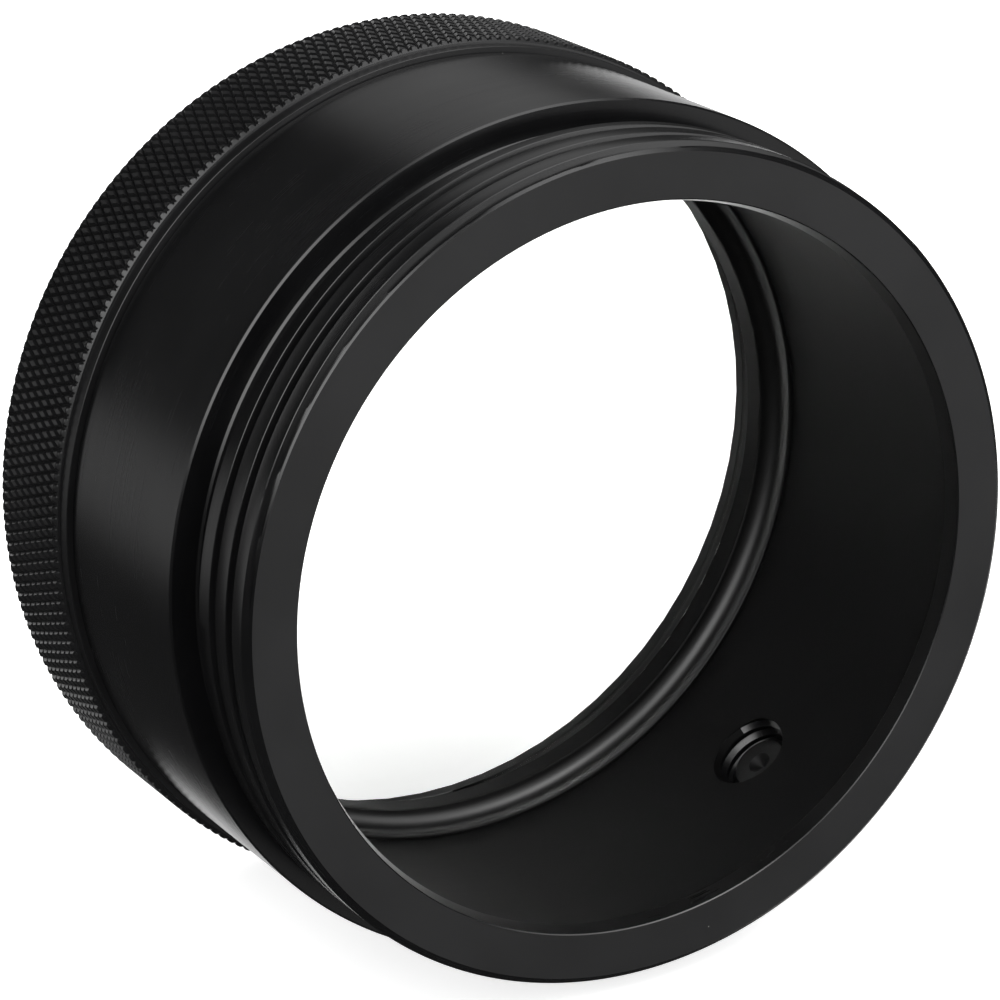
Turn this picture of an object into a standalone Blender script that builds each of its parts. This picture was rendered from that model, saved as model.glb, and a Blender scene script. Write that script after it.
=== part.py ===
"""Barlow lens unit: a threaded barrel, a screwed knurled ring that clamps the lens cell, and a lock screw.

Metres, +Z up. The optical axis is Y: the threaded front end faces -Y and the knurled rear end faces +Y.
The origin is on the axis, half way along. Stations are distances from the front face, towards the rear.
Angles round the axis are clockwise from +Z, seen from the front.
"""

import bmesh
import bpy
from math import cos, pi, radians, sin
from mathutils import Matrix, Vector

MM = 0.001
SEGMENTS = 64
SCREW_SEGMENTS = 32
SMOOTH_BELOW = radians(30)

# Overall
LENGTH = 28.84 * MM
FRONT_Y = -LENGTH / 2

# Front thread, M48 x 2, and the shoulder behind it
THREAD_RADIUS = 23.95 * MM
THREAD_ROOT = 23.35 * MM
THREAD_PITCH = 2.0 * MM
THREAD_GROOVE_MOUTH = 0.7 * MM
THREAD_GROOVE_FLOOR = 0.2 * MM
THREAD_CHAMFER = 0.45 * MM
FIRST_GROOVE = 1.55 * MM
THREAD_END = 5.5 * MM
RELIEF_RADIUS = 23.24 * MM
SHOULDER = 7.2 * MM
EDGE_CHAMFER = 0.3 * MM

# Barrel
BARREL_RADIUS = 24.87 * MM
BARREL_END = 19.75 * MM
BORE_RADIUS = 22.68 * MM
FRONT_BORE_RADIUS = 22.58 * MM
BORE_STEP = 7.4 * MM
LIP_FRONT_RADIUS = 20.9 * MM
LIP_REAR_RADIUS = 20.63 * MM
LIP_LENGTH = 1.02 * MM
NECK_RADIUS = 24.2 * MM
NECK_BORE = 23.5 * MM
NECK_END = 25.2 * MM
CELL_SEAT = 20.1 * MM

# Lens cell
CELL_RADIUS = 23.3 * MM
CELL_FRONT = 20.2 * MM
CELL_LIP_RADIUS = 22.55 * MM
CELL_LIP_SWELL = 0.25 * MM
CELL_LIP_STEPS = 5
CELL_THROAT_RADIUS = 21.4 * MM
CELL_THROAT_START = 21.5 * MM
CELL_SEAT_STATION = 23.1 * MM
CELL_BORE = 23.0 * MM
CELL_END = 27.1 * MM
CELL_FLANGE_RADIUS = 24.15 * MM
CELL_FLANGE = (25.4 * MM, 26.2 * MM)
O_RING_GROOVE = (21.5 * MM, 22.7 * MM)
O_RING_GROOVE_RADIUS = 22.45 * MM
O_RING_RADIUS = 23.0 * MM
O_RING_SECTION = 0.43 * MM

# Optics
LENS_RADIUS = 22.85 * MM
FRONT_LENS = (23.2 * MM, 25.2 * MM)
FRONT_LENS_HOLLOW = 0.45 * MM
REAR_LENS = (25.45 * MM, 26.2 * MM)
REAR_LENS_CROWN = 0.35 * MM
LENS_BEVEL = 0.15 * MM
SHIM = (25.25 * MM, 25.4 * MM)
SHIM_RADII = (22.1 * MM, 22.8 * MM)
SHIM_HALF_ANGLE = radians(4)
SHIM_COUNT = 3
RETAINER = (26.25 * MM, 26.95 * MM)
RETAINER_RADII = (22.4 * MM, 22.9 * MM)
RETAINER_SLOTS = 2
SLOT_WIDTH = 1.4 * MM
SLOT_DEPTH = 0.35 * MM
FIRST_SLOT_ANGLE = radians(20)

# Knurled ring and its slip washer
RING_NOSE_RADIUS = 25.2 * MM
RING_RADIUS = 25.55 * MM
RING_START = 20.05 * MM
RING_NOSE_END = 20.9 * MM
RING_CHAMFER = 0.35 * MM
RING_BORE = 24.4 * MM
RING_FLANGE = (26.8 * MM, 27.5 * MM)
RING_FLANGE_BORE = 23.5 * MM
REAR_RECESS_RADIUS = 24.0 * MM
REAR_MOUTH_RADIUS = 24.4 * MM
WASHER = (26.35 * MM, 26.65 * MM)
WASHER_RADII = (23.5 * MM, 24.15 * MM)

# Lock screw, M5, on a line square to the axis; its stations are distances from the axis
SCREW_ANGLE = radians(140)
SCREW_STATION = 11.4 * MM
SCREW_HOLE_RADIUS = 2.4 * MM
SCREW_RADIUS = 2.15 * MM
TIP_START = 23.7 * MM
TIP_END = 24.7 * MM
TIP_RADIUS = 1.95 * MM
TIP_DIMPLE_RADIUS = 0.7 * MM
TIP_DIMPLE_DEPTH = 0.5 * MM
SCREW_START = 24.8 * MM
HEAD_START = 28.2 * MM
HEAD_END = 30.4 * MM
HEAD_RADIUS = 3.5 * MM
HEAD_CHAMFER = 0.3 * MM
COIN_SLOT_WIDTH = 0.9 * MM
COIN_SLOT_DEPTH = 0.9 * MM


def clear_scene():
    for obj in list(bpy.data.objects):
        bpy.data.objects.remove(obj)


def material(name, colour, roughness, metallic=0.0, transmission=0.0):
    made = bpy.data.materials.new(name)
    made.use_nodes = True
    shader = made.node_tree.nodes["Principled BSDF"]
    shader.inputs["Base Color"].default_value = (*colour, 1)
    shader.inputs["Roughness"].default_value = roughness
    shader.inputs["Metallic"].default_value = metallic
    shader.inputs["Transmission Weight"].default_value = transmission
    made.diffuse_color = (*colour, 1)
    return made


def finish_object(name, bm, finish):
    """Links the mesh as a named object, normals outwards and shaded smooth except at sharp edges."""
    bmesh.ops.recalc_face_normals(bm, faces=bm.faces)
    mesh = bpy.data.meshes.new(name)
    bm.to_mesh(mesh)
    bm.free()
    mesh.shade_smooth()
    mesh.set_sharp_from_angle(angle=SMOOTH_BELOW)
    mesh.materials.append(finish)
    obj = bpy.data.objects.new(name, mesh)
    bpy.context.scene.collection.objects.link(obj)
    return obj


def on_axis(radius, station, angle):
    """The point at this radius, station and angle round the optical axis."""
    return Vector((radius * sin(angle), FRONT_Y + station, radius * cos(angle)))


def turned_ring(name, profile, finish):
    """A ring turned round the optical axis from a closed outline of (radius, station) points."""
    bm = bmesh.new()
    loops = []
    for step in range(SEGMENTS):
        angle = 2 * pi * step / SEGMENTS
        loops.append([bm.verts.new(on_axis(r, s, angle)) for r, s in profile])
    for step, loop in enumerate(loops):
        after = loops[(step + 1) % SEGMENTS]
        for i in range(len(profile)):
            j = (i + 1) % len(profile)
            bm.faces.new((loop[i], loop[j], after[j], after[i]))
    return finish_object(name, bm, finish)


def turned_solid(name, profile, finish, segments, place):
    """A solid turned from an open outline whose first and last points lie on its own axis."""
    bm = bmesh.new()
    first = bm.verts.new(place(0, profile[0][1], 0))
    last = bm.verts.new(place(0, profile[-1][1], 0))
    inner = profile[1:-1]
    loops = []
    for step in range(segments):
        angle = 2 * pi * step / segments
        loops.append([bm.verts.new(place(r, s, angle)) for r, s in inner])
    for step, loop in enumerate(loops):
        after = loops[(step + 1) % segments]
        bm.faces.new((first, loop[0], after[0]))
        bm.faces.new((last, after[-1], loop[-1]))
        for i in range(len(inner) - 1):
            bm.faces.new((loop[i], loop[i + 1], after[i + 1], after[i]))
    return finish_object(name, bm, finish)


def upright(radius, height, angle):
    """A point round an object's own Z axis."""
    return Vector((radius * sin(angle), radius * cos(angle), height))


def box_mesh(name, size, centre, turn):
    """A box, turned about the optical axis and then moved, for cutting."""
    bm = bmesh.new()
    bmesh.ops.create_cube(bm, size=1)
    bmesh.ops.scale(bm, vec=size, verts=bm.verts)
    bmesh.ops.rotate(bm, cent=(0, 0, 0), matrix=turn, verts=bm.verts)
    bmesh.ops.translate(bm, vec=centre, verts=bm.verts)
    mesh = bpy.data.meshes.new(name)
    bm.to_mesh(mesh)
    bm.free()
    obj = bpy.data.objects.new(name, mesh)
    bpy.context.scene.collection.objects.link(obj)
    return as_cutter(obj)


def as_cutter(obj):
    obj.hide_render = True
    obj.display_type = "WIRE"
    return obj


def cut(obj, cutter):
    boolean = obj.modifiers.new(cutter.name, "BOOLEAN")
    boolean.object = cutter
    boolean.operation = "DIFFERENCE"
    boolean.solver = "EXACT"


def thread_outline():
    """The outside of the front thread, from its rear end to the front face, as evenly spaced rings."""
    grooves = []
    station = FIRST_GROOVE
    while station < THREAD_END - THREAD_GROOVE_MOUTH:
        grooves.append(station)
        station += THREAD_PITCH
    outline = [(THREAD_RADIUS, THREAD_END)]
    for middle in reversed(grooves):
        outline += [
            (THREAD_RADIUS, middle + THREAD_GROOVE_MOUTH / 2),
            (THREAD_ROOT, middle + THREAD_GROOVE_FLOOR / 2),
            (THREAD_ROOT, middle - THREAD_GROOVE_FLOOR / 2),
            (THREAD_RADIUS, middle - THREAD_GROOVE_MOUTH / 2),
        ]
    outline.append((THREAD_RADIUS, THREAD_CHAMFER))
    outline.append((THREAD_RADIUS - THREAD_CHAMFER, 0))
    return outline


def make_main_barrel(finish):
    inside = [
        (LIP_FRONT_RADIUS, 0),
        (LIP_REAR_RADIUS, LIP_LENGTH),
        (FRONT_BORE_RADIUS, LIP_LENGTH),
        (FRONT_BORE_RADIUS, BORE_STEP),
        (BORE_RADIUS, BORE_STEP),
        (BORE_RADIUS, CELL_SEAT),
        (NECK_BORE, CELL_SEAT),
        (NECK_BORE, NECK_END),
    ]
    outside = [
        (NECK_RADIUS - EDGE_CHAMFER, NECK_END),
        (NECK_RADIUS, NECK_END - EDGE_CHAMFER),
        (NECK_RADIUS, BARREL_END),
        (BARREL_RADIUS, BARREL_END),
        (BARREL_RADIUS, SHOULDER + EDGE_CHAMFER),
        (BARREL_RADIUS - EDGE_CHAMFER, SHOULDER),
        (RELIEF_RADIUS, SHOULDER),
        (RELIEF_RADIUS, THREAD_END),
    ]
    barrel = turned_ring("main_barrel", inside + outside + thread_outline(), finish)
    hole = turned_solid(
        "lock_screw_hole",
        [
            (0, LIP_REAR_RADIUS),
            (SCREW_HOLE_RADIUS, LIP_REAR_RADIUS),
            (SCREW_HOLE_RADIUS, RING_RADIUS),
            (0, RING_RADIUS),
        ],
        finish,
        SCREW_SEGMENTS,
        upright,
    )
    point_outwards(as_cutter(hole))
    cut(barrel, hole)


def make_lens_cell(finish):
    # The lip is rounded: it swells towards the front and the axis between its two ends.
    rounded = []
    for i in range(CELL_LIP_STEPS + 1):
        t = i / CELL_LIP_STEPS
        radius = CELL_LIP_RADIUS + (CELL_THROAT_RADIUS - CELL_LIP_RADIUS) * t
        station = CELL_FRONT + (CELL_THROAT_START - CELL_FRONT) * t
        swell = CELL_LIP_SWELL * sin(pi * t)
        rounded.append((radius - swell, station - swell / 2))
    outline = [
        (CELL_RADIUS, CELL_FRONT),
        *rounded,
        (CELL_THROAT_RADIUS, CELL_SEAT_STATION),
        (CELL_BORE, CELL_SEAT_STATION),
        (CELL_BORE, CELL_END),
        (CELL_RADIUS, CELL_END),
        (CELL_RADIUS, CELL_FLANGE[1]),
        (CELL_FLANGE_RADIUS, CELL_FLANGE[1]),
        (CELL_FLANGE_RADIUS, CELL_FLANGE[0]),
        (CELL_RADIUS, CELL_FLANGE[0]),
        (CELL_RADIUS, O_RING_GROOVE[1]),
        (O_RING_GROOVE_RADIUS, O_RING_GROOVE[1]),
        (O_RING_GROOVE_RADIUS, O_RING_GROOVE[0]),
        (CELL_RADIUS, O_RING_GROOVE[0]),
    ]
    turned_ring("lens_cell", outline, finish)


def make_o_ring(finish):
    middle = sum(O_RING_GROOVE) / 2
    sides = 8
    outline = []
    for i in range(sides):
        angle = 2 * pi * i / sides
        outline.append((O_RING_RADIUS + O_RING_SECTION * cos(angle), middle + O_RING_SECTION * sin(angle)))
    turned_ring("cell_o_ring", outline, finish)


def half_lens(station, depth, count=4):
    """One face from the axis out to the rim's bevel. A positive depth moves the middle towards the rear."""
    edge = LENS_RADIUS - LENS_BEVEL
    points = []
    for i in range(count + 1):
        radius = edge * i / count
        points.append((radius, station + depth * (1 - (radius / edge) ** 2)))
    return points


def make_lens(name, stations, front_depth, rear_depth, finish):
    front, rear = stations
    outline = half_lens(front, front_depth)
    outline += [(LENS_RADIUS, front + LENS_BEVEL), (LENS_RADIUS, rear - LENS_BEVEL)]
    outline += reversed(half_lens(rear, rear_depth))
    turned_solid(name, outline, finish, SEGMENTS, on_axis)


def make_shim(number, finish):
    """A thin film spacer between the two lenses, at their rim."""
    middle = 2 * pi * (number - 0.5) / SHIM_COUNT
    steps = 3
    bm = bmesh.new()
    sections = []
    for i in range(steps + 1):
        angle = middle + SHIM_HALF_ANGLE * (2 * i / steps - 1)
        corners = [(r, s) for r in SHIM_RADII for s in SHIM]
        corners[2], corners[3] = corners[3], corners[2]
        sections.append([bm.verts.new(on_axis(r, s, angle)) for r, s in corners])
    bm.faces.new(sections[0])
    bm.faces.new(sections[-1])
    for one, other in zip(sections, sections[1:]):
        for i in range(4):
            j = (i + 1) % 4
            bm.faces.new((one[i], one[j], other[j], other[i]))
    finish_object(f"lens_shim_{number}", bm, finish)


def make_lens_retaining_ring(finish):
    inner, outer = RETAINER_RADII
    front, rear = RETAINER
    ring = turned_ring(
        "lens_retaining_ring",
        [(inner, front), (inner, rear), (outer, rear), (outer, front)],
        finish,
    )
    middle = (inner + outer) / 2
    for number in range(RETAINER_SLOTS):
        angle = 2 * pi * number / RETAINER_SLOTS + FIRST_SLOT_ANGLE
        size = (SLOT_WIDTH, 2 * SLOT_DEPTH, 4 * (outer - inner))
        turn = Matrix.Rotation(angle, 3, "Y")
        cut(ring, box_mesh(f"spanner_slot_{number + 1}", size, on_axis(middle, rear, angle), turn))


def make_slip_washer(finish):
    (inner, outer), (front, rear) = WASHER_RADII, WASHER
    turned_ring("slip_washer", [(inner, front), (inner, rear), (outer, rear), (outer, front)], finish)


def make_knurled_ring(finish):
    mouth = REAR_MOUTH_RADIUS - REAR_RECESS_RADIUS
    outline = [
        (RING_BORE, RING_START),
        (RING_BORE, RING_FLANGE[0]),
        (RING_FLANGE_BORE, RING_FLANGE[0]),
        (RING_FLANGE_BORE, RING_FLANGE[1]),
        (REAR_RECESS_RADIUS, RING_FLANGE[1]),
        (REAR_RECESS_RADIUS, LENGTH - mouth),
        (REAR_MOUTH_RADIUS, LENGTH),
        (RING_RADIUS - RING_CHAMFER, LENGTH),
        (RING_RADIUS, LENGTH - RING_CHAMFER),
        (RING_RADIUS, RING_NOSE_END + RING_CHAMFER),
        (RING_NOSE_RADIUS, RING_NOSE_END),
        (RING_NOSE_RADIUS, RING_START),
    ]
    turned_ring("knurled_ring", outline, finish)


def point_outwards(obj):
    """Stands an upright piece on the lock screw's line; its height becomes the distance from the axis."""
    obj.location = (0, FRONT_Y + SCREW_STATION, 0)
    obj.rotation_euler = (0, SCREW_ANGLE, 0)


def make_lock_screw_tip(finish):
    chamfer = (TIP_RADIUS - TIP_DIMPLE_RADIUS) / 4
    outline = [
        (0, TIP_START + TIP_DIMPLE_DEPTH),
        (TIP_DIMPLE_RADIUS, TIP_START),
        (TIP_RADIUS - chamfer, TIP_START),
        (TIP_RADIUS, TIP_START + chamfer),
        (TIP_RADIUS, TIP_END),
        (0, TIP_END),
    ]
    point_outwards(turned_solid("lock_screw_tip", outline, finish, SCREW_SEGMENTS, upright))


def make_lock_screw(finish):
    outline = [
        (0, SCREW_START),
        (SCREW_RADIUS, SCREW_START),
        (SCREW_RADIUS, HEAD_START),
        (HEAD_RADIUS - HEAD_CHAMFER, HEAD_START),
        (HEAD_RADIUS, HEAD_START + HEAD_CHAMFER),
        (HEAD_RADIUS, HEAD_END - HEAD_CHAMFER),
        (HEAD_RADIUS - HEAD_CHAMFER, HEAD_END),
        (0, HEAD_END),
    ]
    screw = turned_solid("lock_screw", outline, finish, SCREW_SEGMENTS, upright)
    point_outwards(screw)
    size = (COIN_SLOT_WIDTH, 3 * HEAD_RADIUS, 2 * COIN_SLOT_DEPTH)
    slot = box_mesh("coin_slot", size, (0, 0, HEAD_END), Matrix.Identity(3))
    point_outwards(slot)
    cut(screw, slot)


def main():
    clear_scene()
    black_metal = material("black_anodised_barrel", (0.012, 0.012, 0.013), 0.38, 0.7)
    ring_metal = material("black_anodised_ring", (0.014, 0.014, 0.015), 0.42, 0.7)
    cell_metal = material("black_anodised_cell", (0.012, 0.012, 0.012), 0.5, 0.6)
    retainer_metal = material("black_retaining_ring", (0.015, 0.015, 0.015), 0.5, 0.6)
    screw_metal = material("black_screw", (0.02, 0.02, 0.02), 0.35, 0.8)
    crown_glass = material("crown_glass", (0.95, 0.98, 0.97), 0.0, 0.0, 1.0)
    flint_glass = material("flint_glass", (0.96, 0.97, 0.95), 0.0, 0.0, 1.0)
    film = material("shim_black", (0.02, 0.02, 0.02), 0.5)
    rubber = material("nitrile_rubber", (0.02, 0.02, 0.02), 0.8)
    acetal = material("white_acetal", (0.8, 0.8, 0.78), 0.5)
    nylon = material("black_nylon", (0.025, 0.025, 0.025), 0.55)
    make_main_barrel(black_metal)
    make_lens_cell(cell_metal)
    make_o_ring(rubber)
    make_lens("front_lens", FRONT_LENS, FRONT_LENS_HOLLOW, -FRONT_LENS_HOLLOW, crown_glass)
    for number in range(1, SHIM_COUNT + 1):
        make_shim(number, film)
    make_lens("rear_lens", REAR_LENS, -REAR_LENS_CROWN, 0, flint_glass)
    make_lens_retaining_ring(retainer_metal)
    make_slip_washer(acetal)
    make_knurled_ring(ring_metal)
    make_lock_screw_tip(nylon)
    make_lock_screw(screw_metal)


main()
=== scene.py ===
import math

import bmesh
import bpy
import numpy as np
from mathutils import Matrix, Vector


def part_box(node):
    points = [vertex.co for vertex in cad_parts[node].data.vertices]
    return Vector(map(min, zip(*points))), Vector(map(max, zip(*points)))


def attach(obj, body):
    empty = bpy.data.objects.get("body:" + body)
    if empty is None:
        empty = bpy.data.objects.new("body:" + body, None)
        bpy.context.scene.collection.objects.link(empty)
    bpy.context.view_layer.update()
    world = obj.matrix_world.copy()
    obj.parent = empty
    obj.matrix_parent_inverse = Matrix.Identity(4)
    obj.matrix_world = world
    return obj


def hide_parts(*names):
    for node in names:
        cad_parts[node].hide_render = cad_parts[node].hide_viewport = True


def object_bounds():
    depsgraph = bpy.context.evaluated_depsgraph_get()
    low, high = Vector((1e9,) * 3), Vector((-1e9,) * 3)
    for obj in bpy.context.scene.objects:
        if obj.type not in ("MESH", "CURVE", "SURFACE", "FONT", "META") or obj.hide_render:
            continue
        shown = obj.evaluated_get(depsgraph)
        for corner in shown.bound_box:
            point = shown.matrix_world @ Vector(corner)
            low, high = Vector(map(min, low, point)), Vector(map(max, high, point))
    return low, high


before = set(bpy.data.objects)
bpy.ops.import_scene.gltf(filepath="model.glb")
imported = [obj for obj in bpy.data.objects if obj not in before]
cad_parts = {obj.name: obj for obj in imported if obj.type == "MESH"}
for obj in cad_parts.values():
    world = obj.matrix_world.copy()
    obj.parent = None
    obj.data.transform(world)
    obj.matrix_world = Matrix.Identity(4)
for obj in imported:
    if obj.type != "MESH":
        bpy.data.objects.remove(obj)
cad_low, cad_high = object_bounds()

MM = 0.001
TAU = 2 * math.pi

# Sizes are in millimetres. A station is the distance from the front face, towards the rear.
BARREL_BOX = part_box("main_barrel")
RING_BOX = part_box("knurled_ring")
CELL_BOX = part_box("lens_cell")
FRONT_Y = BARREL_BOX[0].y
FRONT_MM = FRONT_Y / MM
LENGTH = RING_BOX[1].y / MM - FRONT_MM
RING_CREST = RING_BOX[1].z / MM
RING_START = RING_BOX[0].y / MM - FRONT_MM
BARREL_R = BARREL_BOX[1].z / MM
NECK_END = BARREL_BOX[1].y / MM - FRONT_MM
CELL_START = CELL_BOX[0].y / MM - FRONT_MM
CELL_END = CELL_BOX[1].y / MM - FRONT_MM

COLUMNS = 720
CELL_COLUMNS = 512
LENS_COLUMNS = 192
LENS_RINGS = 20


# ---------------------------------------------------------------- meshes

def add_object(name, verts, faces, smooth_angle=28):
    """A welded mesh object from points in millimetres. Edges sharper than smooth_angle stay sharp."""
    mesh = bpy.data.meshes.new(name)
    mesh.from_pydata((np.asarray(verts) * MM).tolist(), [], [tuple(int(i) for i in f) for f in faces])
    bm = bmesh.new()
    bm.from_mesh(mesh)
    bmesh.ops.remove_doubles(bm, verts=bm.verts, dist=2e-7)
    bmesh.ops.dissolve_degenerate(bm, edges=bm.edges, dist=1e-7)
    bmesh.ops.recalc_face_normals(bm, faces=bm.faces)
    bm.to_mesh(mesh)
    bm.free()
    mesh.validate()
    mesh.shade_smooth()
    mesh.set_sharp_from_angle(angle=math.radians(smooth_angle))
    obj = bpy.data.objects.new(name, mesh)
    bpy.context.scene.collection.objects.link(obj)
    return obj


def around(radii, stations, angles):
    """World points in millimetres. Angles run clockwise from +Z, seen from the front."""
    radii, stations, angles = np.broadcast_arrays(radii, stations, angles)
    return np.stack([radii * np.sin(angles), FRONT_MM + stations, radii * np.cos(angles)], axis=-1)


def grid_faces(rows, columns, wrap_rows, wrap_columns):
    """Quads of a grid of points, closed or open in each direction."""
    r = np.arange(rows if wrap_rows else rows - 1)
    c = np.arange(columns if wrap_columns else columns - 1)
    row, column = np.meshgrid(r, c, indexing="ij")
    next_row = (row + 1) % rows
    next_column = (column + 1) % columns
    corners = [
        row * columns + column,
        row * columns + next_column,
        next_row * columns + next_column,
        next_row * columns + column,
    ]
    return np.stack(corners, -1).reshape(-1, 4)


def bevelled(outline):
    """The outline's points, with each (radius, station, bevel) corner cut back along both its sides."""
    points = []
    count = len(outline)
    for i, corner in enumerate(outline):
        here = np.array(corner[:2], float)
        bevel = corner[2] if len(corner) > 2 else 0
        if not bevel:
            points.append(here)
            continue
        for other in (outline[i - 1], outline[(i + 1) % count]):
            to = np.array(other[:2], float) - here
            points.append(here + to / np.linalg.norm(to) * bevel)
    return [tuple(p) for p in points]


def lathe(name, outline, columns):
    """A closed ring turned from a closed outline."""
    outline = np.array(bevelled(outline))
    angles = np.arange(columns) * TAU / columns
    verts = around(outline[:, 0][:, None], outline[:, 1][:, None], angles[None])
    faces = grid_faces(len(outline), columns, True, True)
    return add_object(name, verts.reshape(-1, 3), faces)


def apply_difference(obj, cutter):
    """Cuts the cutter from the object for good and removes the cutter."""
    modifier = obj.modifiers.new("cut", "BOOLEAN")
    modifier.object = cutter
    modifier.operation = "DIFFERENCE"
    modifier.solver = "EXACT"
    graph = bpy.context.evaluated_depsgraph_get()
    made = bpy.data.meshes.new_from_object(obj.evaluated_get(graph))
    obj.modifiers.clear()
    obj.data = made
    made.shade_smooth()
    made.set_sharp_from_angle(angle=math.radians(28))
    bpy.data.objects.remove(cutter)


# ---------------------------------------------------------------- front thread and barrel

PITCH = 2.0
CREST = 23.95
ROOT = 23.35
THREAD_END = 5.5
LAND_WIDTH = 1.30
GROOVE = PITCH - LAND_WIDTH
# A land's rear edge is at this station at this angle.
LAND_REAR = 1.722
LAND_REAR_ANGLE = math.radians(-70.6)
# One pitch of the thread: a groove with rounded corners, then a land with eased edges.
THREAD_PROFILE = [
    (0, CREST - 0.045),
    (0.18, ROOT + 0.04),
    (0.24, ROOT),
    (GROOVE - 0.24, ROOT),
    (GROOVE - 0.18, ROOT + 0.04),
    (GROOVE - 0.03, CREST - 0.03),
    (GROOVE, CREST),
    (PITCH - 0.11, CREST),
    (PITCH - 0.06, CREST - 0.013),
]
THREAD_U, THREAD_R = zip(*THREAD_PROFILE)

FACE_R = 23.52
LEAD_CHAMFER = CREST - FACE_R
FACE_BORE_R = 20.9
LIP_R = 20.63
LIP_LENGTH = 1.02
FRONT_BORE_R = 22.58
BORE_STEP = 7.40
BORE_R = 22.68
SEAT = 20.10
NECK_BORE_R = 23.50
NECK_R = 24.2
NECK_START = 19.97
SHOULDER = 7.2
RELIEF_R = 23.24


def thread_radius(u):
    """Radius of the thread at u, the distance behind a land's rear edge, repeating every pitch."""
    return np.interp(np.mod(u, PITCH), [*THREAD_U, PITCH], [*THREAD_R, THREAD_R[0]])


def land_rear_at(angles):
    return LAND_REAR + PITCH * (angles - LAND_REAR_ANGLE) / TAU


def outer_thread(y, angles):
    """Radius of the thread, whose first groove runs in gently at the front face."""
    depth = CREST - thread_radius(y - land_rear_at(angles))
    return CREST - depth * np.clip(0.45 + (y - 0.05) / 0.7, 0.45, 1)


def barrel_mesh():
    """The barrel with its helical front thread."""
    angles = np.linspace(0, TAU, COLUMNS + 1)
    inside = [
        (LIP_R, LIP_LENGTH, 0.06),
        (FRONT_BORE_R, LIP_LENGTH),
        (FRONT_BORE_R, BORE_STEP),
        (BORE_R, BORE_STEP),
        (BORE_R, SEAT - 0.12),
        (BORE_R + 0.08, SEAT - 0.04),
        (BORE_R + 0.08, SEAT),
        (NECK_BORE_R, SEAT),
        (NECK_BORE_R, NECK_END, 0.08),
    ]
    outside = [
        (NECK_R, NECK_END, 0.3),
        (NECK_R, NECK_START),
        (BARREL_R, NECK_START, 0.05),
        (BARREL_R, SHOULDER, 0.11),
        (RELIEF_R, SHOULDER, 0.12),
        (RELIEF_R, THREAD_END, 0.12),
    ]
    # The first corner only gives the next one's bevel a direction, and the thread's rows lead back to it.
    face = [(FACE_R, 0), (FACE_BORE_R, 0, 0.05)]
    fixed = bevelled(face + inside + outside)[1:]
    rows = [around(r, y, angles) for r, y in fixed]
    # The thread's rows run from the rear to the front and follow the helix.
    thread_u = np.concatenate([np.array(THREAD_U) + PITCH * k for k in range(-4, 5)])
    for u in np.sort(thread_u)[::-1]:
        y = np.clip(u + land_rear_at(angles), LEAD_CHAMFER, THREAD_END)
        rows.append(around(outer_thread(y, angles), y, angles))
    for y in np.linspace(LEAD_CHAMFER, 0, 10)[1:]:
        thread = outer_thread(np.full_like(angles, y), angles)
        rows.append(around(np.minimum(FACE_R + y, thread), y, angles))
    faces = grid_faces(len(rows), COLUMNS + 1, True, False)
    return add_object("barrel_shell", np.concatenate(rows), faces)


# ---------------------------------------------------------------- lock screw

SCREW_PITCH = 0.8
SCREW_START = 24.8
SHANK_MAJOR = 2.42
SHANK_MINOR = 2.12
HOLE_MAJOR = 2.5
HOLE_MINOR = 2.22
HOLE_END = 26.5
HEAD_START = 28.2
HEAD_END = 30.4
HEAD_RADIUS = 3.5
HEAD_CHAMFER = 0.3
HEAD_TEETH = 48
HEAD_TOOTH_DEPTH = 0.14
SLOT_WIDTH = 0.9
SLOT_DEPTH = 0.9

# The screw is made upright about Z, and this puts it on its hole's axis.
SCREW_ANGLE = math.radians(140)
SCREW_STATION = 11.4
SCREW_PLACE = (
    Matrix.Translation((0, FRONT_Y + SCREW_STATION * MM, 0)) @ Matrix.Rotation(SCREW_ANGLE, 4, "Y")
)


def place_screw_part(obj):
    obj.data.transform(SCREW_PLACE)
    return obj


def helical_rod(name, major, minor, start, end, columns=48):
    """An upright rod about Z with a right-hand thread, closed at both ends."""
    angles = np.linspace(0, TAU, columns + 1)
    profile_u = SCREW_PITCH * np.array([0, 0.12, 0.44, 0.56, 0.88])
    profile_r = [major, major, minor, minor, major]
    climb = SCREW_PITCH * angles / TAU
    turns = int((end - start) / SCREW_PITCH) + 3
    u_all = np.sort(np.concatenate([profile_u + SCREW_PITCH * k for k in range(-1, turns)]))
    rows = [np.tile([0, 0, start], (columns + 1, 1))]
    for u in u_all:
        z = np.clip(start + u + climb, start, end)
        along = np.mod(z - start - climb, SCREW_PITCH)
        r = np.interp(along, [*profile_u, SCREW_PITCH], [*profile_r, major])
        rows.append(np.stack([r * np.cos(angles), r * np.sin(angles), z], -1))
    rows.append(np.tile([0, 0, end], (columns + 1, 1)))
    return add_object(name, np.concatenate(rows), grid_faces(len(rows), columns + 1, False, False))


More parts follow.
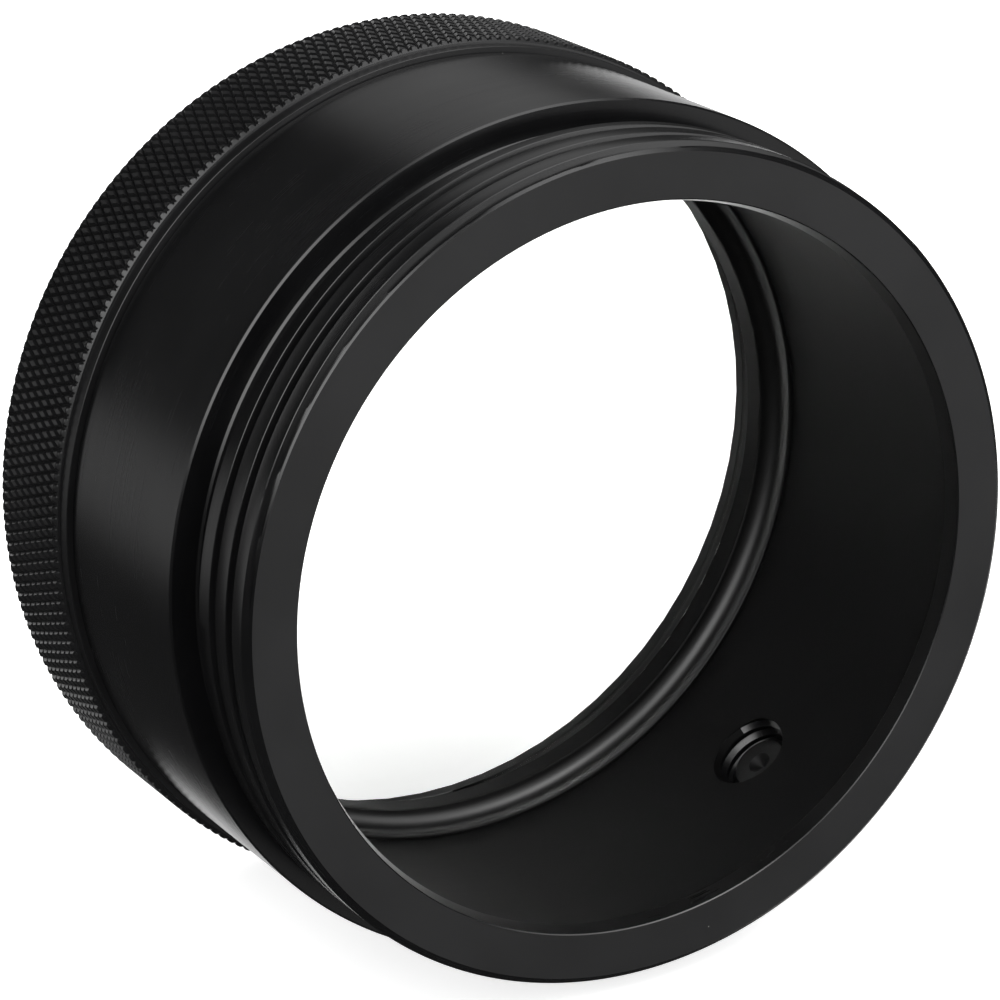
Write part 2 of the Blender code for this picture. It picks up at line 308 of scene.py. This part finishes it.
def screw_head():
    """The lock screw's knurled head about Z, with chamfered rims and no slot yet."""
    columns = HEAD_TEETH * 4
    angles = np.arange(columns) * TAU / columns
    ridge = HEAD_RADIUS - HEAD_TOOTH_DEPTH * np.abs(np.mod(np.arange(columns), 4) - 2) / 2
    rim = HEAD_RADIUS - HEAD_CHAMFER
    outline = [
        (SHANK_MINOR - 0.02, HEAD_START),
        (rim, HEAD_START),
        (HEAD_RADIUS, HEAD_START + HEAD_CHAMFER),
        (HEAD_RADIUS, HEAD_END - HEAD_CHAMFER),
        (rim, HEAD_END),
    ]
    rows = [np.tile([0, 0, HEAD_START], (columns, 1))]
    for limit, z in outline:
        r = np.minimum(ridge, limit)
        rows.append(np.stack([r * np.cos(angles), r * np.sin(angles), np.full(columns, z)], -1))
    rows.append(np.tile([0, 0, HEAD_END], (columns, 1)))
    faces = grid_faces(len(rows), columns, False, True)
    return add_object("lock_screw_head", np.concatenate(rows), faces)


def slot_cutter():
    """A block that cuts the coin slot across the head's top."""
    half = (HEAD_RADIUS + 1, SLOT_WIDTH / 2, SLOT_DEPTH)
    corners = [
        (x * half[0], y * half[1], HEAD_END + z * half[2])
        for z in (-1, 1) for y in (-1, 1) for x in (-1, 1)
    ]
    faces = [(0, 2, 3, 1), (4, 5, 7, 6), (0, 1, 5, 4), (2, 6, 7, 3), (0, 4, 6, 2), (1, 3, 7, 5)]
    return add_object("coin_slot_cutter", corners, faces)


# ---------------------------------------------------------------- knurled ring

DIAMONDS = 250
DIAMOND_ANGLE = TAU / DIAMONDS
HALF_PERIOD = 0.888
PER_HALF = 4
KNURL_HEIGHT = 0.36
KNURL_START = 20.97
KNURL_END = 28.12
RING_BORE = 24.4
RING_NOSE_R = 25.2
RING_REAR_R = 25.25
FLANGE_START = 26.8
FLANGE_BORE = 23.5
FLANGE_END = 27.5
FLANGE_REAR_R = 24.0


def groove_distances(angles, stations):
    """How far a point is from the two crossing sets of helical grooves: 0 in a groove and 1 midway."""
    u = angles / DIAMOND_ANGLE * 2
    v = stations / HALF_PERIOD
    return np.abs(np.mod(u + v, 2) - 1), np.abs(np.mod(u - v, 2) - 1)


def knurl_height(angles, stations):
    """0 in the valleys and 1 on the flat tops."""
    return np.clip(np.minimum(*groove_distances(angles, stations)) / 0.5, 0, 1)


def knurl_stations():
    """Stations of the knurl's rows, closer together where the knurl runs out at its two ends."""
    step = HALF_PERIOD / PER_HALF
    fine = step / 4
    stations = []
    y = KNURL_START
    while y < KNURL_END + 0.45:
        stations.append(y)
        if y < KNURL_START + 0.55 or y > KNURL_END - 0.3:
            y += fine
        else:
            y = round((y + step) / fine) * fine
    return np.array(stations)


def ring_mesh():
    """The knurled ring, each knurled quad split along the ridge or groove that crosses it."""
    columns = DIAMONDS * 2 * PER_HALF
    width = columns + 1
    angles = np.arange(width) * TAU / columns
    smooth = [
        (RING_NOSE_R, KNURL_START - 0.02),
        (RING_NOSE_R, RING_START, 0.03),
        (RING_BORE, RING_START, 0.1),
        (RING_BORE, FLANGE_START),
        (FLANGE_BORE, FLANGE_START, 0.08),
        (FLANGE_BORE, FLANGE_END, 0.08),
        (FLANGE_REAR_R, FLANGE_END),
        (FLANGE_REAR_R, LENGTH - 0.4),
        (FLANGE_REAR_R + 0.4, LENGTH),
        (RING_REAR_R, LENGTH, 0.05),
    ]
    stations = knurl_stations()
    rows = []
    for y in stations:
        r = RING_CREST - 0.5 * KNURL_HEIGHT * (1 - knurl_height(angles, np.full_like(angles, y)))
        run_out = min(RING_NOSE_R + 0.11 + (y - KNURL_START), RING_REAR_R + (LENGTH - y) * 0.6)
        rows.append(around(np.minimum(r, run_out), y, angles))
    for radius, station in reversed(bevelled(smooth)):
        rows.append(around(radius, station, angles))

    quads = grid_faces(len(rows), width, True, False)
    row = quads[:, 0] // width
    knurled = row < len(stations) - 1
    row = row[knurled]
    middle_station = (stations[row] + stations[row + 1]) / 2
    middle_angle = (quads[knurled, 0] % width + 0.5) * TAU / columns
    across, other = groove_distances(middle_angle, middle_station)
    faces = [tuple(f) for f in quads[~knurled]]
    for (a, b, c, d), forward in zip(quads[knurled], across < other):
        faces += [(a, b, d), (b, c, d)] if forward else [(a, b, c), (a, c, d)]
    return add_object("knurled_ring_shell", np.concatenate(rows), faces, smooth_angle=20)


# ---------------------------------------------------------------- cell and optics

CELL_R = 23.3
CELL_FLANGE_R = 24.15
CELL_FLANGE = (25.4, 26.2)
CELL_BORE = 23.0
CELL_SEAT = 23.1
THROAT_R = 21.38
LIP_ROUND_R = 22.58
LIP_ROUND_START = 20.32
LIP_ROUND_SIZE = (1.14, 1.2)
LIP_STEPS = 12

LENS_RADIUS = 22.85
LENS_BEVEL = 0.15
# Front station, rear station, and how far the middle of each face is moved towards the rear.
FRONT_LENS = (23.2, 25.2, 0.45, -0.45)
REAR_LENS = (25.45, 26.2, -0.35, 0)


def cell_mesh():
    """The lens cell, with its rounded front lip, throat, lens bore and flange."""
    lip = []
    for i in range(LIP_STEPS + 1):
        a = i / LIP_STEPS * math.pi / 2
        radius = LIP_ROUND_R - LIP_ROUND_SIZE[0] * (1 - math.cos(a))
        lip.append((radius, LIP_ROUND_START + LIP_ROUND_SIZE[1] * math.sin(a)))
    outline = [
        (CELL_R, CELL_START, 0.05),
        (LIP_ROUND_R + 0.08, CELL_START),
        (LIP_ROUND_R + 0.02, CELL_START + 0.08),
        *lip,
        (THROAT_R, 21.62),
        (THROAT_R, CELL_SEAT - 0.1),
        (THROAT_R + 0.08, CELL_SEAT),
        (CELL_BORE, CELL_SEAT),
        (CELL_BORE, CELL_END, 0.06),
        (CELL_R, CELL_END, 0.06),
        (CELL_R, CELL_FLANGE[1]),
        (CELL_FLANGE_R, CELL_FLANGE[1], 0.06),
        (CELL_FLANGE_R, CELL_FLANGE[0], 0.06),
        (CELL_R, CELL_FLANGE[0]),
    ]
    return lathe("lens_cell_shell", outline, CELL_COLUMNS)


def lens(name, front, rear, front_depth, rear_depth):
    """A glass element with curved faces and a small bevel at its rim."""
    edge = LENS_RADIUS - LENS_BEVEL
    radii = edge * np.arange(LENS_RINGS + 1) / LENS_RINGS
    front_y = front + front_depth * (1 - (radii / edge) ** 2)
    rear_y = rear + rear_depth * (1 - (radii / edge) ** 2)
    rim = [(LENS_RADIUS, front + LENS_BEVEL), (LENS_RADIUS, rear - LENS_BEVEL)]
    outline = [*zip(radii, front_y), *rim, *reversed([*zip(radii, rear_y)])]
    angles = np.arange(LENS_COLUMNS) * TAU / LENS_COLUMNS
    rows = [around(r, y, angles) for r, y in outline]
    return add_object(name, np.concatenate(rows), grid_faces(len(rows), LENS_COLUMNS, False, True))


# ---------------------------------------------------------------- materials

class Nodes:
    """A new material, with short calls to add and link its shader nodes."""

    def __init__(self, name):
        self.material = bpy.data.materials.new(name)
        self.material.use_nodes = True
        self.tree = self.material.node_tree
        self.shader = self.tree.nodes["Principled BSDF"]

    def add(self, kind, values=(), **settings):
        node = self.tree.nodes.new(kind)
        for key, value in settings.items():
            setattr(node, key, value)
        for key, value in dict(values).items():
            if isinstance(value, bpy.types.NodeSocket):
                self.tree.links.new(value, node.inputs[key])
            else:
                node.inputs[key].default_value = value
        return node

    def position(self):
        return self.add("ShaderNodeTexCoord").outputs["Object"]

    def noise(self, place, scale, detail, roughness=0.5):
        values = {"Vector": place, "Scale": scale, "Detail": detail, "Roughness": roughness}
        return self.add("ShaderNodeTexNoise", values).outputs[0]

    def math(self, operation, a, b=0.0, clamp=False):
        return self.add("ShaderNodeMath", {0: a, 1: b}, operation=operation, use_clamp=clamp).outputs[0]

    def about_half(self, value, amount):
        """A noise around one half, turned into a swing around zero."""
        return self.math("MULTIPLY", self.math("SUBTRACT", value, 0.5), amount)

    def ramp(self, value, low, high, to_low=0.0, to_high=1.0):
        values = {"Value": value, "From Min": low, "From Max": high, "To Min": to_low, "To Max": to_high}
        return self.add("ShaderNodeMapRange", values, interpolation_type="SMOOTHSTEP").outputs["Result"]

    def mix_colour(self, factor, a, b):
        node = self.add("ShaderNodeMix", data_type="RGBA")
        for socket, value in ((node.inputs["Factor"], factor), (node.inputs[6], a), (node.inputs[7], b)):
            if isinstance(value, bpy.types.NodeSocket):
                self.tree.links.new(value, socket)
            else:
                socket.default_value = value
        return node.outputs[2]

    def link(self, value, socket):
        self.tree.links.new(value, self.shader.inputs[socket])

    def set(self, **values):
        for key, value in values.items():
            self.shader.inputs[key.replace("_", " ")].default_value = value


def scaled(colour, factor):
    return (*[min(1, c * factor) for c in colour], 1)


DUST_COLOUR = (0.22, 0.22, 0.21, 1)


def dust_specks(n, position, amount):
    """A few small dust specks, one in some of the cells of a Voronoi texture."""
    specks = n.add("ShaderNodeTexVoronoi", {"Vector": position, "Scale": 420.0, "Randomness": 1.0})
    share = n.add("ShaderNodeSeparateColor", {0: specks.outputs["Color"]}).outputs[0]
    chosen = n.ramp(share, 0.955, 0.965)
    dot = n.ramp(specks.outputs["Distance"], 0.022, 0.014)
    return n.math("MULTIPLY", n.math("MULTIPLY", chosen, dot), amount)


def turned_rings(n, position):
    """Fine marks that run round the optical axis, on cylinders, cones and flat faces alike."""
    x, y, z = n.add("ShaderNodeSeparateXYZ", {0: position}).outputs
    radius = n.math("SQRT", n.math("ADD", n.math("MULTIPLY", x, x), n.math("MULTIPLY", z, z)))
    place = n.add("ShaderNodeCombineXYZ", {
        "X": n.math("MULTIPLY", n.math("DIVIDE", x, radius), 1.6),
        "Y": n.math("MULTIPLY", n.math("DIVIDE", z, radius), 1.6),
        "Z": n.math("MULTIPLY", n.math("ADD", y, radius), 9000.0),
    }).outputs[0]
    return n.noise(place, 1.0, 2.0, 0.6)


def turned_metal(name, colour, roughness, specular=0.5, lines=1.0, grain=1.0, dust=1.0):
    """Black anodised, lathe-turned aluminium: fine rings, etched grain and a few specks of dust."""
    n = Nodes(name)
    position = n.position()
    rings = turned_rings(n, position)
    etched = n.noise(position, 7000.0, 2.0)
    cloud = n.noise(position, 120.0, 4.0, 0.6)
    dusty = dust_specks(n, position, dust)
    base = n.mix_colour(n.ramp(cloud, 0.3, 0.7), scaled(colour, 0.8), scaled(colour, 1.25))
    n.link(n.mix_colour(dusty, base, DUST_COLOUR), "Base Color")
    rough = n.math("ADD", n.about_half(cloud, 0.12), roughness)
    rough = n.math("ADD", n.about_half(rings, 0.10 * lines), rough)
    n.link(n.math("ADD", rough, n.math("MULTIPLY", dusty, 0.3), clamp=True), "Roughness")
    ring_height = n.math("MULTIPLY", rings, 0.5 * lines)
    height = n.math("ADD", ring_height, n.math("MULTIPLY", etched, 0.6 * grain))
    bump = n.add("ShaderNodeBump", {"Strength": 1.0, "Distance": 1.6e-6, "Height": height})
    n.link(bump.outputs[0], "Normal")
    n.set(Specular_IOR_Level=specular)
    return n.material


def glass(name, tint, ior):
    """Clear optical glass with a trace of haze."""
    n = Nodes(name)
    haze = n.noise(n.position(), 300.0, 3.0)
    n.link(n.ramp(haze, 0.45, 0.8, 0.0, 0.003), "Roughness")
    n.link(n.mix_colour(haze, (*tint, 1), (1, 1, 1, 1)), "Base Color")
    n.set(Transmission_Weight=1.0, IOR=ior)
    return n.material


def plain_stuff(name, colour, roughness, scale, metallic=0.0, specular=0.5):
    """Plastic, rubber, film or blackened steel with a fine mottled surface."""
    n = Nodes(name)
    mottle = n.noise(n.position(), scale, 4.0)
    n.link(n.mix_colour(mottle, scaled(colour, 0.85), scaled(colour, 1.15)), "Base Color")
    n.link(n.ramp(mottle, 0.3, 0.7, roughness - 0.06, roughness + 0.06), "Roughness")
    n.link(n.add("ShaderNodeBump", {"Distance": 2e-6, "Height": mottle}).outputs[0], "Normal")
    n.set(Metallic=metallic, Specular_IOR_Level=specular)
    return n.material


barrel_metal = turned_metal("barrel_anodised", (0.0022, 0.0022, 0.0024), 0.25)
face_metal = turned_metal("face_anodised", (0.005, 0.005, 0.0053), 0.40, lines=0.5, grain=1.6)
lip_metal = turned_metal("lip_anodised", (0.0022, 0.0022, 0.0022), 0.30, specular=0.40, lines=0.6)
bore_metal = turned_metal("bore_anodised", (0.0022, 0.0022, 0.0022), 0.40, specular=0.02, lines=0.6)
cell_metal = turned_metal("cell_anodised", (0.003, 0.003, 0.003), 0.36, dust=0.5)
ring_metal = turned_metal("ring_anodised", (0.0035, 0.0035, 0.0038), 0.36, lines=0.4)
retainer_metal = turned_metal("retainer_anodised", (0.003, 0.003, 0.003), 0.4)
screw_metal = plain_stuff("screw_black_oxide", (0.02, 0.02, 0.021), 0.36, 2500.0, metallic=0.6)
nylon = plain_stuff("tip_nylon", (0.003, 0.003, 0.003), 0.5, 3000.0, specular=0.15)
rubber = plain_stuff("nitrile", (0.02, 0.02, 0.02), 0.7, 4000.0)
acetal = plain_stuff("acetal", (0.8, 0.8, 0.78), 0.4, 2500.0)
film = plain_stuff("black_film", (0.012, 0.012, 0.012), 0.5, 1500.0)
crown = glass("crown_glass", (0.985, 1.0, 0.99), 1.52)
flint = glass("flint_glass", (1.0, 1.0, 0.99), 1.6)


# ---------------------------------------------------------------- pieces

def stand_for(piece, body, materials, node):
    """Gives a piece its materials and body, and lets it replace a node of the frame."""
    piece.data.materials.clear()
    for material in materials:
        piece.data.materials.append(material)
    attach(piece, body)
    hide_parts(node)


def paint_by_place(piece, choose):
    """Picks each face's material slot from the radius and station of its middle."""
    for polygon in piece.data.polygons:
        x, y, z = polygon.center / MM
        polygon.material_index = choose(math.hypot(x, z), y - FRONT_MM)


def barrel_material_at(radius, station):
    """0 outside, 1 on the front face, 2 in the bore and 3 on the narrow front lip."""
    if station < 0.002:
        return 1
    if radius < BORE_R + 0.22 and station > 0.06:
        return 2 if station > LIP_LENGTH + 0.01 else 3
    return 0


def cell_material_at(radius, station):
    """0 on the lip and the flange, 1 in the throat."""
    return 1 if radius < THROAT_R + 0.22 and station > 21.65 else 0


def make_barrel():
    barrel = barrel_mesh()
    hole_start = SCREW_START - 4 * SCREW_PITCH
    hole = helical_rod("screw_hole_cutter", HOLE_MAJOR, HOLE_MINOR, hole_start, HOLE_END, 64)
    apply_difference(barrel, place_screw_part(hole))
    materials = [barrel_metal, face_metal, bore_metal, lip_metal]
    stand_for(barrel, "barrel", materials, "main_barrel")
    paint_by_place(barrel, barrel_material_at)


def make_cell():
    cell = cell_mesh()
    stand_for(cell, "barrel", [cell_metal, bore_metal], "lens_cell")
    paint_by_place(cell, cell_material_at)


def make_lock_screw():
    shank = helical_rod("lock_screw_shank", SHANK_MAJOR, SHANK_MINOR, SCREW_START, HEAD_START + 0.1)
    stand_for(place_screw_part(shank), "screw", [screw_metal], "lock_screw")
    head = place_screw_part(screw_head())
    apply_difference(head, place_screw_part(slot_cutter()))
    stand_for(head, "screw", [screw_metal], "lock_screw")


def finish_cad_nodes():
    """The small pieces keep the frame's own shapes and get new materials."""
    finishes = {
        "cell_o_ring": rubber,
        "slip_washer": acetal,
        "lens_shim_1": film,
        "lens_shim_2": film,
        "lens_shim_3": film,
        "lens_retaining_ring": retainer_metal,
        "lock_screw_tip": nylon,
    }
    for node, material in finishes.items():
        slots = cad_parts[node].data.materials
        slots.clear()
        slots.append(material)


make_barrel()
stand_for(ring_mesh(), "ring", [ring_metal], "knurled_ring")
make_cell()
stand_for(lens("front_lens_glass", *FRONT_LENS), "barrel", [crown], "front_lens")
stand_for(lens("rear_lens_glass", *REAR_LENS), "barrel", [flint], "rear_lens")
make_lock_screw()
finish_cad_nodes()


# ---------------------------------------------------------------- stage

def paper(name, base, glow, specular=0.0, roughness=0.5):
    """White studio paper that glows, so that it stays even behind a dark object."""
    n = Nodes(name)
    n.set(Base_Color=(base, base, base, 1), Roughness=roughness, Specular_IOR_Level=specular)
    n.set(Emission_Color=(1, 1, 1, 1), Emission_Strength=glow)
    return n.material


def stage_floor():
    low = (0, 0, cad_low[2])
    bpy.ops.mesh.primitive_circle_add(vertices=96, radius=3.0, fill_type="NGON", location=low)
    floor = bpy.context.object
    floor.name = "floor"
    floor.data.materials.append(paper("floor_paper", 0.86, 0.72, specular=0.1, roughness=0.9))
    floor.visible_glossy = False


def stage_dome():
    bpy.ops.mesh.primitive_uv_sphere_add(segments=48, ring_count=24, radius=2.9, location=(0, 0, 0))
    dome = bpy.context.object
    dome.name = "backdrop"
    dome.data.materials.append(paper("backdrop_paper", 0.0, 1.3))
    dome.visible_glossy = False
    dome.visible_diffuse = False
    dome.visible_shadow = False


# Soft panels of the studio: direction from the object, inner and outer half-angle in degrees, strength.
PANELS = [
    ((0.362, 0.8265, 0.431), 9, 17, 0.36),
    ((-0.5486, 0.8265, -0.1267), 3, 13, 0.50),
    ((0.461, 0.8265, -0.323), 17, 22, 1.3),
    ((0.0, 1.0, 0.0), 8, 20, 1.2),
    ((-0.62, -0.55, 0.54), 18, 30, 4.5),
    ((0.461, -0.8265, 0.12), 10, 42, 0.80),
    ((0.55, -0.65, 0.5), 12, 24, 2.4),
    ((0.30, -0.41, 0.86), 10, 24, 3.0),
]
DIM_ROOM = 0.035


def stage_world():
    """A dim room with soft panels, whose light adds up."""
    world = bpy.data.worlds.new("studio")
    bpy.context.scene.world = world
    world.use_nodes = True
    tree = world.node_tree
    direction = tree.nodes.new("ShaderNodeTexCoord").outputs["Generated"]
    total = None
    for towards, inner, outer, strength in PANELS:
        dot = tree.nodes.new("ShaderNodeVectorMath")
        dot.operation = "DOT_PRODUCT"
        tree.links.new(direction, dot.inputs[0])
        dot.inputs[1].default_value = Vector(towards).normalized()
        ramp = tree.nodes.new("ShaderNodeMapRange")
        ramp.interpolation_type = "SMOOTHSTEP"
        tree.links.new(dot.outputs["Value"], ramp.inputs["Value"])
        ramp.inputs["From Min"].default_value = math.cos(math.radians(outer))
        ramp.inputs["From Max"].default_value = math.cos(math.radians(inner))
        ramp.inputs["To Max"].default_value = strength
        add = tree.nodes.new("ShaderNodeMath")
        tree.links.new(ramp.outputs["Result"], add.inputs[0])
        if total is None:
            add.inputs[1].default_value = DIM_ROOM
        else:
            tree.links.new(total, add.inputs[1])
        total = add.outputs[0]
    tree.links.new(total, tree.nodes["Background"].inputs["Color"])


def area_light(name, location, target, size, energy, glossy=True):
    data = bpy.data.lights.new(name, "AREA")
    data.shape = "DISK"
    data.size = size
    data.energy = energy
    light = bpy.data.objects.new(name, data)
    light.location = location
    light.rotation_euler = (Vector(target) - Vector(location)).to_track_quat("-Z", "Y").to_euler()
    light.visible_glossy = glossy
    light.visible_camera = False
    bpy.context.scene.collection.objects.link(light)


def stage_camera():
    """A long lens, in front of the threaded end, to its left and above it."""
    camera = bpy.data.objects.new("camera", bpy.data.cameras.new("camera"))
    camera.data.lens = 152.16
    camera.data.sensor_width = 36
    camera.data.clip_start = 0.01
    camera.data.clip_end = 20
    camera.location = Vector((-112.04, -185.04, 78.09)) * MM + Vector((0, FRONT_Y, 0))
    camera.rotation_euler = (math.radians(71.156), 0, math.radians(-29.154))
    bpy.context.scene.collection.objects.link(camera)
    bpy.context.scene.camera = camera


stage_floor()
stage_dome()
stage_world()
area_light("overhead", (0, 0, 0.9), (0, 0, 0), 1.6, 6.0, glossy=False)
area_light("front_top", (0.02, -0.10, 0.10), (0, -0.01, 0.01), 0.07, 0.09)
stage_camera()
bpy.context.scene.view_settings.view_transform = "Standard"
